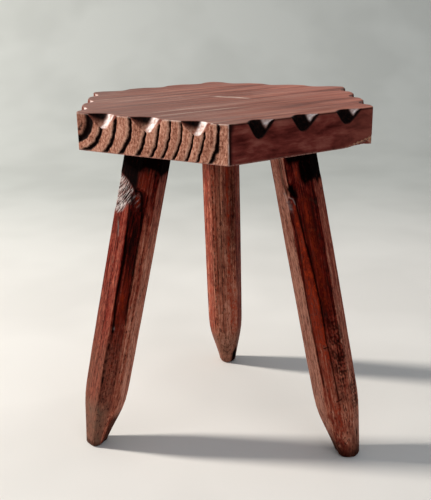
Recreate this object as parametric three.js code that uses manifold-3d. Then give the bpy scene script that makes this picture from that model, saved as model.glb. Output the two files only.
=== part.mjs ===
// A three-legged stool. The seat is one thick six-sided slab with gouged notches along its top
// edge. The three splayed legs are hewn to uneven octagons and cut to blunt points. Each leg has
// a round tenon in a blind socket under the seat, locked there by a hidden fox wedge.
// Sizes are in millimetres and angles in degrees. The stool stands on the XY plane, +Z up.

import * as THREE from "three";
import { mergeVertices } from "three/addons/utils/BufferGeometryUtils.js";
import Module from "manifold-3d";

const wasm = await Module();
wasm.setup();

// Seat slab
const seatAcrossCorners = 380;
const seatThickness = 42;
const seatTopHeight = 433;

// Its corners, hewn a little out of true: each one's reach as a share of half the width across
// corners, and its bearing about the seat's centre, counted from the first
const seatCorners = [
  { reach: 1.03, bearing: 0 },
  { reach: 1.01, bearing: 60 },
  { reach: 1.03, bearing: 120 },
  { reach: 0.99, bearing: 181 },
  { reach: 0.99, bearing: 240.5 },
  { reach: 0.98, bearing: 299 },
];

// The grain runs along this side and the one across from it
const grainSide = 0;

// The seat's first corner faces the viewer
const facing = -90;

// Notches gouged across the seat's top edge, spread evenly between the lands at a side's ends
const notchesPerSide = 3;
const notchWaveWidth = 42;
const notchDepth = 7.4;
const notchLip = 0.8;
const notchSlope = 62;
const notchSteps = 14;
const landAtCorner = 15;

// Splinter lost from the seat's lower edge at its right-hand corner
const splinterSide = 0;
const splinterLength = 24;
const splinterHeight = 6;
const splinterDepth = 5;

// Legs, with their sockets set in from the seat's sides
const socketFromSide = 69.5;
const legThickness = 53;
const footThickness = 29;
const footTaper = 67;
const stopRadius = 12;
const stopSteps = 8;

// Round tenons, with the shoulder round them and the wood over their sockets
const shoulderWidth = 10.5;
const coverOverTenon = 14;
const tenonChamfer = 1.5;
const tenonSegments = 32;
const fitClearance = 0.3;

// Fox wedges, set in from the tenon's sides
const wedgeLength = 18;
const wedgeInset = 3;
const wedgeHeadThickness = 4;
const wedgeTipThickness = 1;

// Each leg has its socket's bearing about the seat's centre, the angle and bearing of its splay, its
// girth as a share of the leg thickness, and the bearings of its eight corners about its own axis.
// All bearings are counted from the seat's first corner.
// A stopped facet ends that far below the seat, and its two neighbours meet in a corner above it.
const legs = [
  {
    name: "left",
    socketAt: 297,
    splay: 12.6,
    splayTowards: 284,
    girth: 1.06,
    corners: [272, 341, 13, 38, 87, 135, 180, 226],
    stop: { facet: 1, belowSeat: 50 },
  },
  {
    name: "right",
    socketAt: 57,
    splay: 12.7,
    splayTowards: 52,
    girth: 1.075,
    corners: [265, 320, 347, 33, 77, 115, 162, 212],
    stop: { facet: 1, belowSeat: 61 },
  },
  {
    name: "back",
    socketAt: 178.5,
    splay: 10,
    splayTowards: 173,
    girth: 1,
    corners: [270, 322, 1, 41, 79, 128, 174, 220],
    stop: null,
  },
];

// Material to spare on tools and blanks that are trimmed by another cut
const cutMargin = 10;
const mergeTolerance = 1e-4;

const seatUnderside = seatTopHeight - seatThickness;
const seatRadius = seatAcrossCorners / 2;
const seatApothem = seatRadius * Math.cos(Math.PI / seatCorners.length);
const socketRadius = seatApothem - socketFromSide;
const tenonDiameter = legThickness - 2 * shoulderWidth;
const tenonLength = seatThickness - coverOverTenon;

const UP = new THREE.Vector3(0, 0, 1);

const seatWood = wood(0x7a3a2c, 0.45);
const legWood = wood(0x5e2318, 0.5);
const wedgeWood = wood(0xb58a5a, 0.7);

function wood(color, roughness) {
  return new THREE.MeshStandardMaterial({ color, roughness, metalness: 0, flatShading: true });
}

function radians(degrees) {
  return THREE.MathUtils.degToRad(degrees);
}

// The level vector of a length at a bearing
function level(length, bearing) {
  return new THREE.Vector3(Math.cos(radians(bearing)), Math.sin(radians(bearing)), 0)
    .multiplyScalar(length);
}

function flat(point) {
  return new THREE.Vector2(point.x, point.y);
}

// Solids from three.js geometries and back

function toSolid(geometry, matrix = new THREE.Matrix4()) {
  const bare = geometry.clone();
  bare.deleteAttribute("normal");
  bare.deleteAttribute("uv");
  const merged = mergeVertices(bare.applyMatrix4(matrix), mergeTolerance);
  const mesh = new wasm.Mesh({
    numProp: 3,
    vertProperties: new Float32Array(merged.attributes.position.array),
    triVerts: new Uint32Array(merged.index.array),
  });
  return new wasm.Manifold(mesh);
}

function named(name, solid, material) {
  const { vertProperties, triVerts } = solid.getMesh();
  const geometry = new THREE.BufferGeometry();
  geometry.setAttribute("position", new THREE.BufferAttribute(vertProperties, 3));
  geometry.setIndex(new THREE.BufferAttribute(triVerts, 1));
  const mesh = new THREE.Mesh(geometry, material);
  mesh.name = name;
  return mesh;
}

// A closed skin over rings that all have the same number of points
function loft(rings) {
  const count = rings[0].length;
  const points = rings.flat().flatMap((point) => point.toArray());
  const faces = [];
  for (let ring = 0; ring < rings.length - 1; ring += 1) {
    for (let i = 0; i < count; i += 1) {
      const a = ring * count + i;
      const b = ring * count + ((i + 1) % count);
      faces.push(a, b, b + count, a, b + count, a + count);
    }
  }
  const last = (rings.length - 1) * count;
  for (let i = 1; i < count - 1; i += 1) {
    faces.push(0, i + 1, i);
    faces.push(last, last + i, last + i + 1);
  }
  const geometry = new THREE.BufferGeometry();
  geometry.setAttribute("position", new THREE.Float32BufferAttribute(points, 3));
  geometry.setIndex(faces);
  return geometry;
}

// A slab of an outline, standing from one height to another
function slab(points, bottom, top) {
  const outline = new THREE.Shape(points);
  const geometry = new THREE.ExtrudeGeometry(outline, { depth: top - bottom, bevelEnabled: false });
  return geometry.translate(0, 0, bottom);
}

// A round bar about the Z axis, with its top edge chamfered
function roundBar(diameter, bottom, top, chamfer = 0) {
  const radius = diameter / 2;
  const rim = chamfer > 0 ? [new THREE.Vector2(radius, top - chamfer)] : [];
  const profile = [
    new THREE.Vector2(0, bottom),
    new THREE.Vector2(radius, bottom),
    ...rim,
    new THREE.Vector2(radius - chamfer, top),
    new THREE.Vector2(0, top),
  ];
  return new THREE.LatheGeometry(profile, tenonSegments).rotateX(Math.PI / 2);
}

// Seat

function cornerOfSeat(corner) {
  const { reach, bearing } = seatCorners[corner % seatCorners.length];
  return level(reach * seatRadius, bearing);
}

// A side's length, the middle of its top edge, the way along it and the way out from it
function sideOfSeat(side) {
  const start = cornerOfSeat(side);
  const end = cornerOfSeat(side + 1);
  const along = end.clone().sub(start).normalize();
  return {
    length: start.distanceTo(end),
    middle: start.clone().add(end).multiplyScalar(0.5).setZ(seatThickness),
    along,
    outward: along.clone().cross(UP),
  };
}

// A gouge as one wave of a cosine that starts a lip above the edge, swept along its sloping floor
function notchTool(side, place) {
  const { middle, along, outward } = sideOfSeat(side);
  const points = [];
  for (let step = 0; step <= notchSteps; step += 1) {
    const turn = step / notchSteps;
    const swell = (1 - Math.cos(2 * Math.PI * turn)) / 2;
    const across = (turn - 0.5) * notchWaveWidth;
    points.push(new THREE.Vector2(across, notchLip - (notchDepth + notchLip) * swell));
  }
  points.push(new THREE.Vector2(notchWaveWidth / 2, notchLip + cutMargin));
  points.push(new THREE.Vector2(-notchWaveWidth / 2, notchLip + cutMargin));
  const reach = 2 * notchDepth + cutMargin;
  const slope = radians(notchSlope);
  const square = outward.clone().multiplyScalar(Math.sin(slope)).addScaledVector(UP, Math.cos(slope));
  const matrix = new THREE.Matrix4()
    .makeBasis(along, square, along.clone().cross(square))
    .setPosition(middle.clone().addScaledVector(along, place));
  return toSolid(slab(points, -reach, reach), matrix);
}

// The sliver that has split off the lower edge, next to the end of one side
function splinterTool() {
  const { length, middle, along, outward } = sideOfSeat(splinterSide);
  const end = length / 2;
  const points = [
    new THREE.Vector2(end - splinterLength, -seatThickness),
    new THREE.Vector2(end - splinterLength, -seatThickness - cutMargin),
    new THREE.Vector2(end + cutMargin, -seatThickness - cutMargin),
    new THREE.Vector2(end + cutMargin, splinterHeight - seatThickness),
    new THREE.Vector2(end, splinterHeight - seatThickness),
  ];
  const matrix = new THREE.Matrix4().makeBasis(along, UP, outward).setPosition(middle);
  return toSolid(slab(points, -splinterDepth, cutMargin), matrix);
}

function makeSeat(socketFrames) {
  const corners = seatCorners.map((_, corner) => flat(cornerOfSeat(corner)));
  let solid = toSolid(slab(corners, 0, seatThickness));
  for (let side = 0; side < seatCorners.length; side += 1) {
    const firstToLast = sideOfSeat(side).length - 2 * landAtCorner - notchWaveWidth;
    for (let notch = 0; notch < notchesPerSide; notch += 1) {
      const place = (notch / (notchesPerSide - 1) - 0.5) * firstToLast;
      solid = solid.subtract(notchTool(side, place));
    }
  }
  solid = solid.subtract(splinterTool());
  for (const frame of socketFrames) {
    const bore = tenonDiameter + 2 * fitClearance;
    const socket = roundBar(bore, -bore, tenonLength + fitClearance);
    solid = solid.subtract(toSolid(socket, frame));
  }
  return named("seat", solid, seatWood);
}

// Legs

// A leg's frame in the seat's frame: its Z axis runs up the leg, from the seat's underside
function legFrame(leg) {
  const lean = level(-Math.sin(radians(leg.splay)), leg.splayTowards);
  const axis = lean.setZ(Math.cos(radians(leg.splay)));
  const turn = new THREE.Quaternion().setFromUnitVectors(UP, axis);
  return new THREE.Matrix4()
    .makeRotationFromQuaternion(turn)
    .setPosition(level(socketRadius, leg.socketAt));
}

function legLength(leg) {
  return seatUnderside / Math.cos(radians(leg.splay));
}

// A ring of the leg's corners, at a height on its axis
function legRing(leg, height, thickness) {
  const reach = (leg.girth * thickness) / 2;
  return leg.corners.map((bearing) => level(reach, bearing).setZ(height));
}

// Where two lines in the plane meet, each given by two points
function meeting(a, b, c, d) {
  const first = b.clone().sub(a);
  const second = d.clone().sub(c);
  const between = c.clone().sub(a);
  const share = between.cross(second).z / first.clone().cross(second).z;
  return a.clone().addScaledVector(first, share);
}

// The uncut corner that stands above a stopped facet, where its two neighbours would meet
function standingCorner(leg) {
  const ring = legRing(leg, 0, legThickness);
  const [before, from, to, after] = [-1, 0, 1, 2].map(
    (step) => ring[(leg.stop.facet + step + ring.length) % ring.length],
  );
  const facetEnd = -leg.stop.belowSeat - stopRadius;
  const outline = [from, meeting(before, from, after, to), to, new THREE.Vector3()];
  const corner = toSolid(slab(outline.map(flat), facetEnd, cutMargin));

  const runOut = [new THREE.Vector2(0, facetEnd - cutMargin)];
  for (let step = 0; step <= stopSteps; step += 1) {
    const turn = (Math.PI / 2) * (step / stopSteps);
    const rise = facetEnd + stopRadius * Math.sin(turn);
    runOut.push(new THREE.Vector2(stopRadius * (1 - Math.cos(turn)), rise));
  }
  runOut.push(new THREE.Vector2(stopRadius + legThickness, facetEnd + stopRadius));
  runOut.push(new THREE.Vector2(stopRadius + legThickness, facetEnd - cutMargin));
  const reach = to.distanceTo(from) / 2 + cutMargin;
  const scoop = slab(runOut, -reach, reach);

  const outward = to.clone().sub(from).normalize().cross(UP);
  const basis = new THREE.Matrix4()
    .makeBasis(outward, UP, outward.clone().cross(UP))
    .setPosition(from.clone().add(to).multiplyScalar(0.5));
  return corner.subtract(toSolid(scoop, basis));
}

// Half the wedge's thickness at a height on the leg's axis
function wedgeHalf(height) {
  const rise = (height - tenonLength + wedgeLength) / wedgeLength;
  return THREE.MathUtils.lerp(wedgeTipThickness, wedgeHeadThickness, rise) / 2;
}

// The wedge between two heights, or with a clearance at its sides, its kerf. It spreads the tenon
// along the seat's grain, so that it can't split the slab.
function wedgeBlock(width, bottom, top, clearance = 0) {
  const tip = wedgeHalf(bottom) + clearance;
  const head = wedgeHalf(top) + clearance;
  const outline = [
    new THREE.Vector2(-tip, bottom),
    new THREE.Vector2(tip, bottom),
    new THREE.Vector2(head, top),
    new THREE.Vector2(-head, top),
  ];
  const { along } = sideOfSeat(grainSide);
  return slab(outline, -width / 2, width / 2)
    .rotateX(Math.PI / 2)
    .rotateZ(Math.atan2(along.y, along.x));
}

// The space between the floor and the seat, in the seat's frame
function roomForLegs() {
  const width = 4 * seatTopHeight;
  const height = seatUnderside - fitClearance;
  const box = new THREE.BoxGeometry(width, width, height);
  return box.translate(0, 0, -fitClearance - height / 2);
}

function makeLeg(leg, frame) {
  const length = legLength(leg);
  const blank = loft([
    legRing(leg, -length - cutMargin, footThickness),
    legRing(leg, -length, footThickness),
    legRing(leg, footTaper - length, legThickness),
    legRing(leg, cutMargin, legThickness),
  ]);
  let solid = toSolid(blank);
  if (leg.stop) {
    solid = solid.add(standingCorner(leg));
  }
  solid = solid.intersect(toSolid(roomForLegs(), frame.clone().invert()));
  const tenon = roundBar(tenonDiameter, -tenonDiameter / 2, tenonLength, tenonChamfer);
  const kerf = wedgeBlock(
    tenonDiameter + cutMargin,
    tenonLength - wedgeLength - fitClearance,
    tenonLength + cutMargin,
    fitClearance,
  );
  solid = solid.add(toSolid(tenon)).subtract(toSolid(kerf));
  return named(`leg_${leg.name}`, solid, legWood);
}

function makeWedge(leg) {
  const width = tenonDiameter - 2 * wedgeInset;
  const block = wedgeBlock(width, tenonLength - wedgeLength, tenonLength);
  return named(`wedge_${leg.name}`, toSolid(block), wedgeWood);
}

// Assembly

const seatFrame = new THREE.Group();
seatFrame.position.z = seatUnderside;
seatFrame.rotation.z = radians(facing);
seatFrame.add(makeSeat(legs.map(legFrame)));
for (const leg of legs) {
  const frame = legFrame(leg);
  const standing = new THREE.Group();
  frame.decompose(standing.position, standing.quaternion, standing.scale);
  standing.add(makeLeg(leg, frame), makeWedge(leg));
  seatFrame.add(standing);
}

// The stool's origin is at the middle of its box, on the floor
const stool = new THREE.Group();
stool.add(seatFrame);
stool.updateMatrixWorld(true);
const middle = new THREE.Box3().setFromObject(stool, true).getCenter(new THREE.Vector3());
seatFrame.position.x = -middle.x;
seatFrame.position.y = -middle.y;

export default stool;
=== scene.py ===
from math import cos, pi, radians, sin, tan

import bmesh
import bpy
import numpy as np
from mathutils import Matrix, Vector


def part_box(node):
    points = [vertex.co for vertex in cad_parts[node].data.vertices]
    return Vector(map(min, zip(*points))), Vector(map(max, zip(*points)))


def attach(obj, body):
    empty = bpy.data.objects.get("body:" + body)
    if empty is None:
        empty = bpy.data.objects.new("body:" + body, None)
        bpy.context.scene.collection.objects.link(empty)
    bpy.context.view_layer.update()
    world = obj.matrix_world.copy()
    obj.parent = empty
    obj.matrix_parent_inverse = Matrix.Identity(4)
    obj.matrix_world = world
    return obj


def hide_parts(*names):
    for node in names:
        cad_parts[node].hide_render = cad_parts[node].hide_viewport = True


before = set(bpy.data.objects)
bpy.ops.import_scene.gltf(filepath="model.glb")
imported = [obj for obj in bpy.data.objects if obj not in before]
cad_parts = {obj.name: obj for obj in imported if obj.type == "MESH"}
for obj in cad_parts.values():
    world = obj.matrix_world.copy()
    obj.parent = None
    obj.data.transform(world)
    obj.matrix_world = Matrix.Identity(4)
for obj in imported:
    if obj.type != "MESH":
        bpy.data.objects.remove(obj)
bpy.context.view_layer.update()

# A tripod stool: a thick six-sided slab on three hewn legs. Lengths are in millimetres until a
# mesh is written, and bearings are in degrees from +X.

MM = 0.001
SMOOTH_ANGLE = 50

# Seat slab
SEAT_TOP = 433
SEAT_THICKNESS = 42
SEAT_UNDERSIDE = SEAT_TOP - SEAT_THICKNESS
SEAT_RADIUS = 190
SEAT_CORNERS = [(1.03, -90), (1.01, -30), (1.03, 30), (0.99, 91), (0.99, 150.5), (0.98, 209)]
GRAIN_SIDE = 0
LONG_GRAIN_SIDES = (0, 3)
SHADED_SIDES = (1, 2)

# Notches gouged across the seat's top edge: the middle, width and depth of each. The two front
# sides have notches of their own. A side's lean is how far along it the deepest point of a notch
# lies off the notch's middle. The lip is how far above the edge the curve of a notch starts, and
# a notch reaches in over the top by a share of its depth down the side.
NOTCHES = [(-61, 42, 15.5), (0, 41, 16), (60.5, 43, 15)]
FRONT_NOTCHES = {
    0: [(-57, 37, 18), (0, 41, 16.5), (60.5, 41, 15)],
    5: [(-61, 45, 15), (-2.5, 46, 14.5), (58.5, 40, 13.5)],
}
NOTCH_LEAN = [-3, -2, 2, -2, 2, 1.5]
NOTCH_LIP = 0.8
NOTCH_INWARD = 0.58
# How deep the floor of a notch is hollowed, and how that is shared out between in and down
NOTCH_BOWL = 1.4
BOWL_IN = 0.88
BOWL_DOWN = 0.47

# The sliver lost from the lower edge at the end of the first side
SPLINTER_LENGTH = 46
SPLINTER_HEIGHT = 11

# How soft the slab's worn edges are, and how wide its finely divided borders
TOP_ARRIS_SOFTNESS = 0.45
LOW_ARRIS_SOFTNESS = 0.35
CORNER_SOFTNESS = 0.9
TOP_BORDER = 18
UNDERSIDE_BORDER = 10

# Into how many parts, less one, the slab's edges are divided
SIDE_CUTS = (11, 15)
HEIGHT_CUTS = 35
TOP_BORDER_CUTS = 15
UNDERSIDE_BORDER_CUTS = 6

# Growth rings: the pith's line across the grain, the bend of the rings below it, and their radii
PITH_ACROSS = -8.1
RING_BEND_DEPTH = 4.05
RING_BEND_START = 0.2
RING_BEND_GAIN = 1.227
RING_BEND_REACH = 52.1
RING_RADII = [0, 18.3, 33.0, 50.3, 68.2, 85.8, 101.0, 113.5, 125.8, 138.8, 150.5, 164.5, 192.0]
GROOVE_DEPTH = 2.6

# Legs. Each has the bearing of its socket, how many degrees it splays and towards which bearing,
# its girth as a share of the usual, and the bearings of the corners between its facets. A stop is
# the facet whose hewing stops in a curve, and how far below the seat.
LEG_RADIUS = 26.5
FOOT_SHARE = 29 / 53
FOOT_TAPER = 67
TENON_RADIUS = 16
TENON_LENGTH = 28
TENON_CHAMFER = 1.5
STOP_RADIUS = 12
CLEARANCE = 0.3
SOCKET_INSET = 69.5
SOCKET_RADIUS = SEAT_RADIUS * cos(pi / 6) - SOCKET_INSET
SOCKET_START = -30
SOCKET_SEGMENTS = 48
WEDGE_LENGTH = 18
WEDGE_TIP = 1
WEDGE_GROWTH = 3
KERF_HALF_WIDTH = 22
KERF_PAST_END = 6

LEGS = {
    "left": dict(
        socket=207, splay=12.6, towards=194, girth=1.06, stop=(1, 50),
        corners=[182, 251, 287, 311, 357, 405, 450, 496],
    ),
    "right": dict(
        socket=327, splay=12.7, towards=322, girth=1.075, stop=(1, 61),
        corners=[175, 230, 257, 303, 347, 385, 432, 482],
    ),
    "back": dict(
        socket=88.5, splay=10, towards=83, girth=1.0, stop=None,
        corners=[180, 232, 271, 311, 349, 398, 444, 490],
    ),
}


def level(length, bearing):
    """The level vector of a length at a bearing."""
    return np.array([length * cos(radians(bearing)), length * sin(radians(bearing)), 0.0])


def soft_max(values, softness):
    """The greatest of several arrays, rounded off where two are close."""
    stack = np.stack(np.broadcast_arrays(*values))
    top = stack.max(axis=0)
    return top + softness * np.log(np.exp((stack - top) / softness).sum(axis=0))


def step(value, start, end):
    """Goes smoothly from 0 to 1 while a value goes from start to end."""
    share = np.clip((value - start) / (end - start), 0, 1)
    return share * share * (3 - 2 * share)


def peak(value, width, power=2):
    """1 where a value is 0, falling to 0 as it passes a width either way."""
    return np.exp(-((value / width) ** power))


def ripple(points, wavelength, seed):
    """A smooth random swell between about -1 and 1, made of sine waves."""
    random = np.random.default_rng(seed)
    total = np.zeros(len(points))
    for _ in range(14):
        way = random.normal(size=3)
        way *= 2 * pi / wavelength / np.linalg.norm(way) * random.uniform(0.6, 1.6)
        total += np.sin(points @ way + random.uniform(0, 2 * pi))
    return total / 3.5


# Mesh helpers


def deselect():
    if bpy.context.object and bpy.context.object.mode != "OBJECT":
        bpy.ops.object.mode_set(mode="OBJECT")
    bpy.ops.object.select_all(action="DESELECT")


def select_only(piece):
    deselect()
    piece.select_set(True)
    bpy.context.view_layer.objects.active = piece


def pick(piece, chooser, kind="FACE"):
    """Selects the faces, edges or vertices of the piece in edit mode that the chooser accepts."""
    bpy.ops.mesh.select_mode(type=kind)
    bpy.ops.mesh.select_all(action="DESELECT")
    mesh = bmesh.from_edit_mesh(piece.data)
    parts = {"FACE": mesh.faces, "EDGE": mesh.edges, "VERT": mesh.verts}[kind]
    parts.ensure_lookup_table()
    for part in parts:
        if chooser(part):
            part.select_set(True)
    mesh.select_flush_mode()
    bmesh.update_edit_mesh(piece.data)


def read_points(piece):
    points = np.empty(len(piece.data.vertices) * 3)
    piece.data.vertices.foreach_get("co", points)
    return points.reshape(-1, 3) / MM


def write_points(piece, points):
    piece.data.vertices.foreach_set("co", (points * MM).ravel())
    piece.data.update()


def paint(piece, name, values):
    """Stores a value for each vertex, for the piece's finish to read."""
    layer = piece.data.attributes.new(name, "FLOAT", "POINT")
    layer.data.foreach_set("value", np.asarray(values, dtype=np.float32))


def apply_place(piece):
    """Puts the piece's place, turn and size into its mesh."""
    select_only(piece)
    bpy.ops.object.transform_apply(location=True, rotation=True, scale=True)


def cut(piece, cutters):
    """Cuts the cutters out of the piece, and removes them."""
    for cutter in cutters:
        select_only(piece)
        modifier = piece.modifiers.new("cut", "BOOLEAN")
        modifier.operation = "DIFFERENCE"
        modifier.solver = "EXACT"
        modifier.object = cutter
        bpy.ops.object.modifier_apply(modifier=modifier.name)
        bpy.data.objects.remove(cutter)


def smooth(piece, angle):
    select_only(piece)
    bpy.ops.object.shade_smooth_by_angle(angle=radians(angle))


def upright_bar(sides, radius, bottom, top):
    """A bar with that many sides about the middle of the floor."""
    deselect()
    bpy.ops.mesh.primitive_cylinder_add(
        vertices=sides,
        radius=radius * MM,
        depth=(top - bottom) * MM,
        location=(0, 0, (top + bottom) / 2 * MM),
    )
    bar = bpy.context.object
    apply_place(bar)
    return bar


def rise_of(edge):
    return abs(edge.verts[0].co.z - edge.verts[1].co.z)


def divide(piece, chooser, cuts):
    """Cuts each edge that the chooser accepts into one part more than it has cuts."""
    pick(piece, chooser, "EDGE")
    bpy.ops.mesh.subdivide(number_cuts=cuts)


# Seat

seat_corners = np.array([level(reach * SEAT_RADIUS, bearing) for reach, bearing in SEAT_CORNERS])
seat_low = np.array(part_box("seat")[0]) / MM
seat_centre = (seat_low - seat_corners.min(axis=0)) * (1, 1, 0)
seat_corners = seat_corners + seat_centre


def side_of_seat(side):
    """A side's length, middle, way along and way out."""
    start = seat_corners[side]
    end = seat_corners[(side + 1) % 6]
    length = np.linalg.norm(end - start)
    along = (end - start) / length
    return length, (start + end) / 2, along, np.array([along[1], -along[0], 0])


grain = side_of_seat(GRAIN_SIDE)[2]
across_grain = side_of_seat(GRAIN_SIDE)[3]


def ring_number(across, depth):
    """How many growth rings lie between the pith and a point, as a number with its fraction."""
    sideways = np.abs(across - PITH_ACROSS)
    below = depth - RING_BEND_DEPTH
    below = (below + np.sqrt(below * below + 1)) / 2
    reach = np.hypot(sideways, below)
    bend = RING_BEND_START + RING_BEND_GAIN * (1 - np.exp(-reach / RING_BEND_REACH))
    return np.interp(np.hypot(sideways, bend * below), RING_RADII, range(len(RING_RADII)))


def notch_at(side, along):
    """How far down the notches of a side reach at each place along it, below nothing on the
    lands, and where each place lies across its notch, from -1 to 1."""
    reach = np.full(len(along), -50.0)
    across = np.zeros(len(along))
    for middle, width, depth in FRONT_NOTCHES.get(side, NOTCHES):
        turn = (along - middle) / width
        beside = -NOTCH_LIP - 0.6 * width * (np.abs(turn) - 0.5)
        turn = turn - NOTCH_LEAN[side] / width * np.cos(pi * np.clip(turn, -0.5, 0.5)) ** 2
        swell = np.cos(pi * np.clip(turn, -0.5, 0.5)) ** 1.3
        wave = np.where(np.abs(turn) < 0.5, (depth + NOTCH_LIP) * swell - NOTCH_LIP, beside)
        across = np.where(wave > reach, turn / 0.42, across)
        reach = np.maximum(reach, wave)
    return reach, across


def make_slab():
    """A six-sided slab with its corners in place, and fine faces along its edges."""
    slab = upright_bar(6, SEAT_RADIUS, SEAT_UNDERSIDE, SEAT_TOP)
    slab.name = "seat_slab"
    bpy.ops.object.mode_set(mode="EDIT")
    for corner in seat_corners:
        bearing = Vector((corner - seat_centre)[:2]).normalized()

        def near(vertex):
            return Vector((vertex.co.x, vertex.co.y)).normalized().dot(bearing) > 0.98

        pick(slab, near, "VERT")
        mesh = bmesh.from_edit_mesh(slab.data)
        first = next(vertex for vertex in mesh.verts if vertex.select)
        shift = (corner[0] * MM - first.co.x, corner[1] * MM - first.co.y, 0)
        bpy.ops.transform.translate(value=shift)

    for height, border in ((SEAT_TOP, TOP_BORDER), (SEAT_UNDERSIDE, UNDERSIDE_BORDER)):
        pick(slab, lambda face: abs(face.calc_center_median().z - height * MM) < 1e-6)
        bpy.ops.mesh.inset(thickness=border * MM)

    sides = [side_of_seat(side) for side in range(6)]

    def lies_along(edge):
        way = (edge.verts[1].co - edge.verts[0].co).normalized()
        halfway = np.array(edge.verts[0].co + edge.verts[1].co) / 2 / MM
        nearest = min(sides, key=lambda side: (side[1] - halfway) @ side[3])
        return abs(way.dot(Vector(nearest[2]))) > 0.9999

    def is_border(edge, height):
        middle = (edge.verts[0].co.z + edge.verts[1].co.z) / 2 / MM
        return not lies_along(edge) and abs(middle - height) < 0.01

    for cuts in SIDE_CUTS:
        divide(slab, lies_along, cuts)
    divide(slab, lambda edge: rise_of(edge) > 1e-3, HEIGHT_CUTS)
    divide(slab, lambda edge: is_border(edge, SEAT_TOP), TOP_BORDER_CUTS)
    divide(slab, lambda edge: is_border(edge, SEAT_UNDERSIDE), UNDERSIDE_BORDER_CUTS)
    bpy.ops.object.mode_set(mode="OBJECT")
    return slab


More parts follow.
